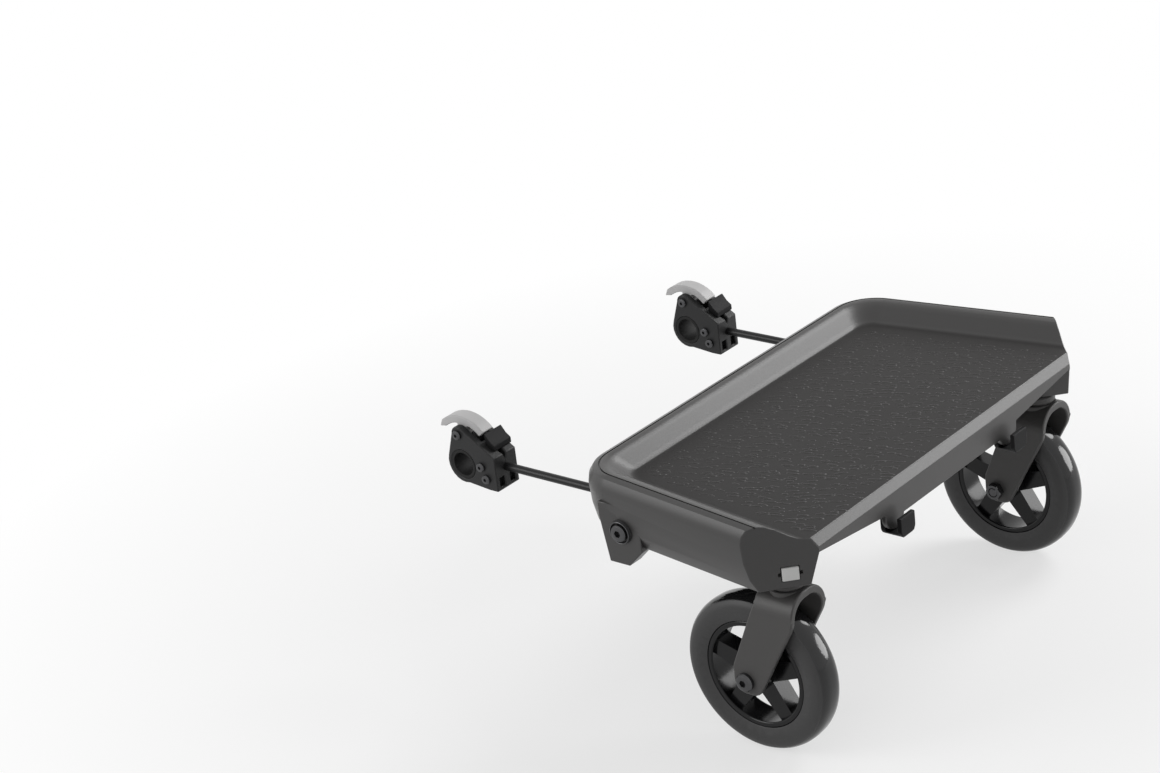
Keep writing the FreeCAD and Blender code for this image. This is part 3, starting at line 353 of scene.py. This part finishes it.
def cut_corners(shape):
    """Takes a wedge out of each rear corner: under a rising edge, behind a face square to the corner's own."""
    rise = (CUT_CORNER.z - CUT_START.z) / (CUT_CORNER.x - CUT_START.x)
    lean = (CUT_FOOT.x + CUT_FOOT.y - CUT_CORNER.x - CUT_CORNER.y) / (CUT_FOOT.z - CUT_CORNER.z)

    def on_face(x, z):
        return Vector((x, CUT_CORNER.x + CUT_CORNER.y + (z - CUT_CORNER.z) * lean - x, z))

    def on_edge(x):
        return CUT_START.z + (x - CUT_START.x) * rise

    outer = CUT_CORNER.x + CUT_MARGIN
    foot = CUT_FOOT.x + CUT_MARGIN
    bottom = CUT_FOOT.z - CUT_BELOW
    behind = rear - CUT_MARGIN
    inner_top = on_face(CUT_INNER, on_edge(CUT_INNER))
    inner_foot = on_face(CUT_INNER, bottom)
    corners = [
        on_face(outer, on_edge(outer)), inner_top, on_face(foot, bottom), inner_foot,
        Vector((CUT_START.x, inner_top.y, CUT_START.z)), Vector((CUT_START.x, inner_foot.y, bottom)),
        Vector((CUT_START.x, behind, CUT_START.z)), Vector((CUT_START.x, behind, bottom)),
        Vector((outer, behind, on_edge(outer))), Vector((foot, behind, bottom)),
    ]
    wedges = bmesh.new()
    for hand in SIDES.values():
        points = [wedges.verts.new((hand * corner.x, corner.y, corner.z)) for corner in corners]
        bmesh.ops.convex_hull(wedges, input=points)
    bmesh.ops.recalc_face_normals(wedges, faces=wedges.faces)
    pair = []
    for name, source in (("uncut_deck", shape), ("corner_wedges", wedges)):
        mesh = bpy.data.meshes.new(name)
        source.to_mesh(mesh)
        pair.append(bpy.data.objects.new(name, mesh))
        bpy.context.scene.collection.objects.link(pair[-1])
    wedges.free()
    cut = pair[0].modifiers.new("cut", "BOOLEAN")
    cut.operation = "DIFFERENCE"
    cut.object = pair[1]
    result = bpy.data.meshes.new_from_object(pair[0].evaluated_get(bpy.context.evaluated_depsgraph_get()))
    for scrap in pair:
        bpy.data.objects.remove(scrap)
    shape.clear()
    shape.from_mesh(result)


finished("deck_tray", charcoal, DECK_ROUNDING, keep_sharp_above=crest - SEAM_DEPTH, trim=cut_corners)

# Grip relief: rows of short raised dashes moulded on the standing floor, slanting from front to rear, each
# about a centimetre long and an eighth of a millimetre high. They part and waver as hand-cut lines do.
DASH = {"Length": 0.0095, "Width": 0.0021, "Height": 0.00012}
ROWS = {"Across": 0.40, "Along": 0.36, "Dash Pitch": 0.0128, "Row Pitch": 0.0042}
LAY = {"Slant": math.radians(-66), "Waver": 0.0040, "Scatter": 0.0045}
STANDING = {"Middle Y": -0.2525, "Level": floor_height, "Half Depth": 0.082, "Half Width": 0.1545,
            "Flare": math.tan(math.radians(8))}
SHORTEST, LONGEST = 0.55, 1.35
NARROWEST, WIDEST = 0.75, 1.15
SKEW = 0.22
RIPPLES_PER_METRE = 120.0
STRAY_SEED, LENGTH_SEED, WIDTH_SEED, SKEW_SEED = 3, 5, 7, 11

relief = bpy.data.node_groups.new("grip_relief", "GeometryNodeTree")
relief.interface.new_socket(name="Dashes", in_out="OUTPUT", socket_type="NodeSocketGeometry")
for label in (*DASH, *ROWS, *LAY, *STANDING):
    relief.interface.new_socket(name=label, in_out="INPUT", socket_type="NodeSocketFloat")
relief.interface.new_socket(name="Plastic", in_out="INPUT", socket_type="NodeSocketMaterial")
entry = relief.nodes.new("NodeGroupInput")
given = {socket.name: Shade(socket) for socket in entry.outputs if socket.name}
add = given["Length"].node


def varied(low, high, seed):
    """A number drawn afresh for each dash."""
    return add("FunctionNodeRandomValue", {"data_type": "FLOAT"}, {2: low, 3: high, "Seed": seed}, output=1)


# Points of a slanting grid, scattered a little, kept where the floor's trapezium lies
columns = round(given["Along"] / given["Dash Pitch"])
lines = round(given["Across"] / given["Row Pitch"])
grid = add("GeometryNodeMeshGrid", {}, {
    "Size X": given["Along"], "Size Y": given["Across"], "Vertices X": columns, "Vertices Y": lines})
turned = add("ShaderNodeCombineXYZ", {}, {"Z": given["Slant"]})
middle = add("ShaderNodeCombineXYZ", {}, {"Y": given["Middle Y"], "Z": given["Level"]})
laid = add("GeometryNodeTransform", {}, {"Geometry": grid, "Translation": middle, "Rotation": turned})
stray = add("FunctionNodeRandomValue", {"data_type": "FLOAT_VECTOR"}, {
    0: (-1.0, -1.0, 0.0), 1: (1.0, 1.0, 0.0), "Seed": STRAY_SEED})
stray = add("ShaderNodeVectorMath", {"operation": "SCALE"}, {0: stray, "Scale": given["Scatter"]})
laid = add("GeometryNodeSetPosition", {}, {"Geometry": laid, "Offset": stray})
spot = add("GeometryNodeInputPosition", {}, {})
off_middle = spot.axis("Y") - given["Middle Y"]
sideways = abs(spot.axis("X")) + off_middle * given["Flare"] - given["Half Width"]
lengthways = abs(off_middle) - given["Half Depth"]
outside = sideways.larger(lengthways)
past = outside.math("GREATER_THAN", outside, 0.0)
laid = add("GeometryNodeDeleteGeometry", {"domain": "POINT"}, {"Geometry": laid, "Selection": past})

# One dash is a flat lens, half sunk in the floor
lens = add("GeometryNodeMeshUVSphere", {}, {"Segments": 10, "Rings": 5, "Radius": 1.0})
stretch = add("ShaderNodeCombineXYZ", {}, {
    "X": given["Length"] / 2, "Y": given["Width"] / 2, "Z": given["Height"]})
lens = add("GeometryNodeTransform", {}, {"Geometry": lens, "Scale": stretch})
longer = varied(SHORTEST, LONGEST, LENGTH_SEED)
wider = varied(NARROWEST, WIDEST, WIDTH_SEED)
sizes = add("ShaderNodeCombineXYZ", {}, {"X": longer, "Y": wider, "Z": 1.0})
skew = varied(-SKEW, SKEW, SKEW_SEED)
angle = add("ShaderNodeCombineXYZ", {}, {"Z": given["Slant"] + skew})
dashes = add("GeometryNodeInstanceOnPoints", {}, {
    "Points": laid, "Instance": lens, "Rotation": angle, "Scale": sizes})
dashes = add("GeometryNodeRealizeInstances", {}, {"Geometry": dashes})
ripple = add("ShaderNodeTexNoise", {}, {"Scale": RIPPLES_PER_METRE, "Detail": 0.0}, output=1)
ripple = add("ShaderNodeVectorMath", {"operation": "SUBTRACT"}, {0: ripple, 1: (0.5, 0.5, 0.5)})
ripple = add("ShaderNodeVectorMath", {"operation": "MULTIPLY"}, {0: ripple, 1: (1.0, 1.0, 0.0)})
ripple = add("ShaderNodeVectorMath", {"operation": "SCALE"}, {0: ripple, "Scale": given["Waver"]})
dashes = add("GeometryNodeSetPosition", {}, {"Geometry": dashes, "Offset": ripple})
dashes = add("GeometryNodeSetShadeSmooth", {}, {"Geometry": dashes})
dashes = add("GeometryNodeSetMaterial", {}, {"Geometry": dashes, "Material": given["Plastic"]})
leave = relief.nodes.new("NodeGroupOutput")
relief.links.new(dashes.socket, leave.inputs[0])

grip = bpy.data.objects.new("grip_relief", bpy.data.meshes.new("grip_relief"))
bpy.context.scene.collection.objects.link(grip)
layer = grip.modifiers.new("grip_relief", "NODES")
layer.node_group = relief
values = {**DASH, **ROWS, **LAY, **STANDING, "Plastic": charcoal}
for socket in relief.interface.items_tree:
    if socket.in_out == "INPUT":
        layer[socket.identifier] = values[socket.name]
moulding = bpy.data.meshes.new_from_object(grip.evaluated_get(bpy.context.evaluated_depsgraph_get()))
grip.modifiers.clear()
grip.data = moulding
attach(grip, "deck")

# Strap hooks: black nylon clips that wrap under the rounded tongues of the rear wall, with a flat tab turned
# up behind. They hold the strap that lifts the board out of the way.
HOOK_CORNER = 0.007
HOOK_CUTS = 6
black = moulded(
    "black_nylon", (0.0085, 0.0085, 0.009), roughness=0.50, grain=0.0009, depth=0.00008, specular=0.12)


def round_foot(shape):
    """Rounds a hook's two lower corners, seen from behind, by a fan of cuts that run along Y."""
    across = [point.co.x for point in shape.verts]
    foot = min(point.co.z for point in shape.verts)
    for edge_x, hand in ((min(across), -1), (max(across), 1)):
        centre = Vector((edge_x - hand * HOOK_CORNER, 0, foot + HOOK_CORNER))
        for step in range(HOOK_CUTS):
            turn = (step + 0.5) / HOOK_CUTS * math.pi / 2
            away = Vector((hand * math.cos(turn), 0, -math.sin(turn)))
            everything = shape.verts[:] + shape.edges[:] + shape.faces[:]
            cut = bmesh.ops.bisect_plane(
                shape, geom=everything, plane_co=centre + away * HOOK_CORNER, plane_no=away, clear_outer=True)
            rim = [part for part in cut["geom_cut"] if isinstance(part, bmesh.types.BMEdge)]
            bmesh.ops.holes_fill(shape, edges=rim)


for side in SIDES:
    finished(f"{side}_strap_hook", black, rounding=0.0006, trim=round_foot)

# Release buttons: light grey acetal squares, moulded smooth. Each slides into a slot in one of the platform's
# slanting rear corners, against a spring.
pale_grey = moulded(
    "button_acetal", (0.66, 0.66, 0.65), roughness=0.38, grain=0.0012, depth=0.00004, mottle=0.03)
for side in SIDES:
    finished(f"{side}_corner_button", pale_grey, rounding=0.0006)

# Platform hinge: black socket-head bolts through the lugs, each in a pressed cup, with a hexagonal nut inside
# and a bracket screwed up against the ceiling by two button-head screws.
RING_STEPS = 24
TIP_CHAMFER = 0.2
DOME = ((1.0, 0.0), (0.3, 0.4), (0.0, 1.2))
NUT_CHAMFER = 0.12
NUT_BORE = 0.0081
PIVOT = {"shank": 0.004, "head": 0.0065, "height": 0.005, "rim": 0.0012, "flats": 0.005, "depth": 0.0028}
SMALL_SCREW = {"shank": 0.002, "head": 0.00375, "height": 0.0025, "rim": 0.001, "flats": 0.0025,
               "depth": 0.0014}
OXIDE_METALLIC = 0.85
oxide = moulded("black_oxide_steel", (0.085, 0.085, 0.088), roughness=0.26, grain=0.0007, depth=0.00002)
oxide.node_tree.nodes["Principled BSDF"].inputs["Metallic"].default_value = OXIDE_METALLIC


def ring(shape, place, outward, along, radius, flats=None):
    """A loop of points about an axis: round, or hexagonal where its width across flats is given."""
    turn = outward.to_track_quat("Z", "Y")
    points = []
    for step in range(RING_STEPS):
        angle = 2 * math.pi * step / RING_STEPS
        out = flats / 2 / math.cos(angle % (math.pi / 3) - math.pi / 6) if flats else radius
        spot = Vector((out * math.cos(angle), out * math.sin(angle), along))
        points.append(shape.verts.new(place + turn @ spot))
    return points


def skin(shape, loops, closed=False):
    """Faces between each loop of points and the next; an open run gets a flat face at each end."""
    pairs = list(zip(loops, loops[1:] + loops[:1])) if closed else list(zip(loops, loops[1:]))
    for near, far in pairs:
        for step in range(RING_STEPS):
            after = (step + 1) % RING_STEPS
            shape.faces.new((near[step], near[after], far[after], far[step]))
    if not closed:
        shape.faces.new(loops[0])
        shape.faces.new(loops[-1])


def steel(node, build):
    """A hardware piece built in a fresh mesh, its faces turned outwards and its sharp edges kept."""
    shape = bmesh.new()
    build(shape)
    bmesh.ops.recalc_face_normals(shape, faces=shape.faces)
    for face in shape.faces:
        face.smooth = True
    for edge in shape.edges:
        edge.smooth = edge.calc_face_angle(math.pi) < EDGE_ANGLE
    mesh = bpy.data.meshes.new(f"{node}_finish")
    shape.to_mesh(mesh)
    shape.free()
    return placed(mesh, node, oxide)


def socket_screw(shape, tip, outward, length, make):
    """A screw from its chamfered tip to its domed head, with a hexagonal socket in the head."""
    shank, head, rim = make["shank"], make["head"], make["rim"]
    under_head = length - make["height"]
    profile = [(0, shank * (1 - TIP_CHAMFER)), (shank * TIP_CHAMFER, shank)]
    profile += [(under_head, shank), (under_head, head)]
    profile += [(length - rim * down, head - rim * inwards) for down, inwards in DOME]
    loops = [ring(shape, tip, outward, along, radius) for along, radius in profile]
    for along in (length, length - make["depth"]):
        loops.append(ring(shape, tip, outward, along, 0, make["flats"]))
    skin(shape, loops)


def hex_nut(shape, seat, outward, thickness, corners):
    """A chamfered hexagonal nut on its seat."""
    flats = corners * math.cos(math.pi / 6)
    chamfer = thickness * NUT_CHAMFER
    loops = [
        ring(shape, seat, outward, 0, NUT_BORE / 2),
        ring(shape, seat, outward, 0, flats / 2),
        ring(shape, seat, outward, chamfer, 0, flats),
        ring(shape, seat, outward, thickness - chamfer, 0, flats),
        ring(shape, seat, outward, thickness, flats / 2),
        ring(shape, seat, outward, thickness, NUT_BORE / 2),
    ]
    skin(shape, loops, closed=True)


def between(node):
    """The middle of a node's box."""
    low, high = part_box(node)
    return (low + high) / 2


def screws(node, tips, outward, length, make):
    """One piece made of like screws, with their tips and the way that their heads face."""
    steel(node, lambda shape: [socket_screw(shape, tip, outward, length, make) for tip in tips])


def cross_bolt(node, outward, make):
    """A bolt that lies along X, with its head on the outward side."""
    low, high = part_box(node)
    length = high.x - low.x
    screws(node, [between(node) - outward * length / 2], outward, length, make)


def cross_nut(node, outward):
    """A nut that lies along X, with its seat on the outward side."""
    low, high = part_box(node)
    thickness = high.x - low.x
    seat = between(node) + outward * thickness / 2
    steel(node, lambda shape: hex_nut(shape, seat, -outward, thickness, high.z - low.z))


for side, hand in SIDES.items():
    outward = Vector((hand, 0, 0))
    cross_bolt(f"{side}_pivot_bolt", outward, PIVOT)
    cross_nut(f"{side}_pivot_nut", outward)
    finished(f"{side}_cup_washer", oxide, rounding=0.0003)
    finished(f"{side}_hinge_bracket", black, rounding=0.0006)
    low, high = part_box(f"{side}_bracket_screws")
    middle_x = between(f"{side}_bracket_screws").x
    ends = (low.y + SMALL_SCREW["head"], high.y - SMALL_SCREW["head"])
    tops = [Vector((middle_x, along, high.z)) for along in ends]
    screws(f"{side}_bracket_screws", tops, Vector((0, 0, -1)), high.z - low.z, SMALL_SCREW)
    finished(f"{side}_swivel_bush", black, rounding=0.0003)

# Casters: charcoal nylon forks bent over like a strap, each on a swivel stem with a broad collar, with a
# domed socket bolt, a hexagonal nut and two spacers for the wheel's axle.
AXLE = {"shank": 0.004, "head": 0.007, "height": 0.0045, "rim": 0.002, "flats": 0.005, "depth": 0.0028}
satin = moulded(
    "fork_nylon", (0.070, 0.068, 0.067), roughness=0.40, grain=0.0010, depth=0.00008, specular=0.3)
for side, hand in SIDES.items():
    outward = Vector((hand, 0, 0))
    finished(f"{side}_fork", satin, rounding=0.0010)
    finished(f"{side}_swivel_stem", satin, rounding=0.0004)
    cross_bolt(f"{side}_caster_axle", outward, AXLE)
    cross_nut(f"{side}_caster_nut", outward)
    finished(f"{side}_axle_spacers", black, rounding=0.0003)

# Wheels: solid polyurethane tyres, dull at the sides and polished on the tread, on gloss black spoked hubs
# with flanged bearing bushes. The hubs' level faces run round openings, so they are not joined.
SIDE_COLOUR = (0.036, 0.0355, 0.036, 1.0)
TREAD_COLOUR = (0.010, 0.010, 0.0105, 1.0)
SIDE_START = 0.62
SIDE_BLEND = 0.16
TREAD_ROUGHNESS = 0.09
SIDE_EXTRA_ROUGHNESS = 0.42
rubber = moulded(
    "tyre_polyurethane", SIDE_COLOUR[:3], roughness=0.36, grain=0.0016, depth=0.00004, specular=0.45)
across = Shade(rubber.node_tree.nodes["Texture Coordinate"].outputs["Normal"]).axis("X")
sidewall = abs(across).ramp(SIDE_START, SIDE_BLEND)
rubber_shader = rubber.node_tree.nodes["Principled BSDF"]
plug(rubber_shader, "Base Color", across.node(
    "ShaderNodeMix", {"data_type": "RGBA"}, {0: sidewall, 6: TREAD_COLOUR, 7: SIDE_COLOUR}, output=2))
plug(rubber_shader, "Roughness", sidewall * SIDE_EXTRA_ROUGHNESS + TREAD_ROUGHNESS)
gloss = moulded("hub_gloss", (0.006, 0.006, 0.0065), roughness=0.20, grain=0.0030, depth=0.00002)
for side in SIDES:
    finished(f"{side}_tyre", rubber, rounding=0.0004)
    finished(f"{side}_wheel_hub", gloss, rounding=0.0009, joined=False)
    finished(f"{side}_wheel_bearings", oxide, rounding=0.0002)

# Arms: steel rods with a satin black coat, from the clamps to black nylon barrels. The barrels turn on the
# hinge bolts, so that the platform can tip.
coat = moulded("rod_coat", (0.010, 0.010, 0.0105), roughness=0.32, grain=0.0015, depth=0.00003)
for side in SIDES:
    finished(f"{side}_arm_rod", coat, rounding=0.0005)
    finished(f"{side}_hinge_barrel", black, rounding=0.0006)

# Axle clamps: near-black glass-filled nylon with a rubber liner, a lever pin through the horns and two screws
# in the left cheek. The heads of pin and screws face left on both clamps.
HEADS_FACE = Vector((-1, 0, 0))
near_black = moulded("clamp_nylon", (0.020, 0.020, 0.0205), roughness=0.40, grain=0.0009, depth=0.00010)
lining = moulded("liner_rubber", (0.008, 0.008, 0.008), roughness=0.62, grain=0.0007, depth=0.00008)
for side in SIDES:
    finished(f"{side}_clamp_body", near_black, rounding=0.0008)
    finished(f"{side}_clamp_liner", lining, rounding=0.0004)
    cross_bolt(f"{side}_lever_pin", HEADS_FACE, SMALL_SCREW)
    low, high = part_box(f"{side}_cheek_screws")
    reach = SMALL_SCREW["head"]
    feet = [Vector((high.x, high.y - reach, high.z - reach)), Vector((high.x, low.y + reach, low.z + reach))]
    screws(f"{side}_cheek_screws", feet, HEADS_FACE, high.x - low.x, SMALL_SCREW)

# Clamp levers: light grey nylon arches over the clamps' horns, each turning on its pin. A black nylon catch
# slides behind each lever's tail.
light_grey = moulded(
    "lever_nylon", (0.52, 0.515, 0.515), roughness=0.38, grain=0.0012, depth=0.00005, mottle=0.04)
for side in SIDES:
    finished(f"{side}_clamp_lever", light_grey, rounding=0.0008)
    finished(f"{side}_lever_catch", black, rounding=0.0006)

visual_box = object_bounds()
({"cad": [list(corner) for corner in cad_box],
           "visual": [list(corner) for corner in visual_box]})
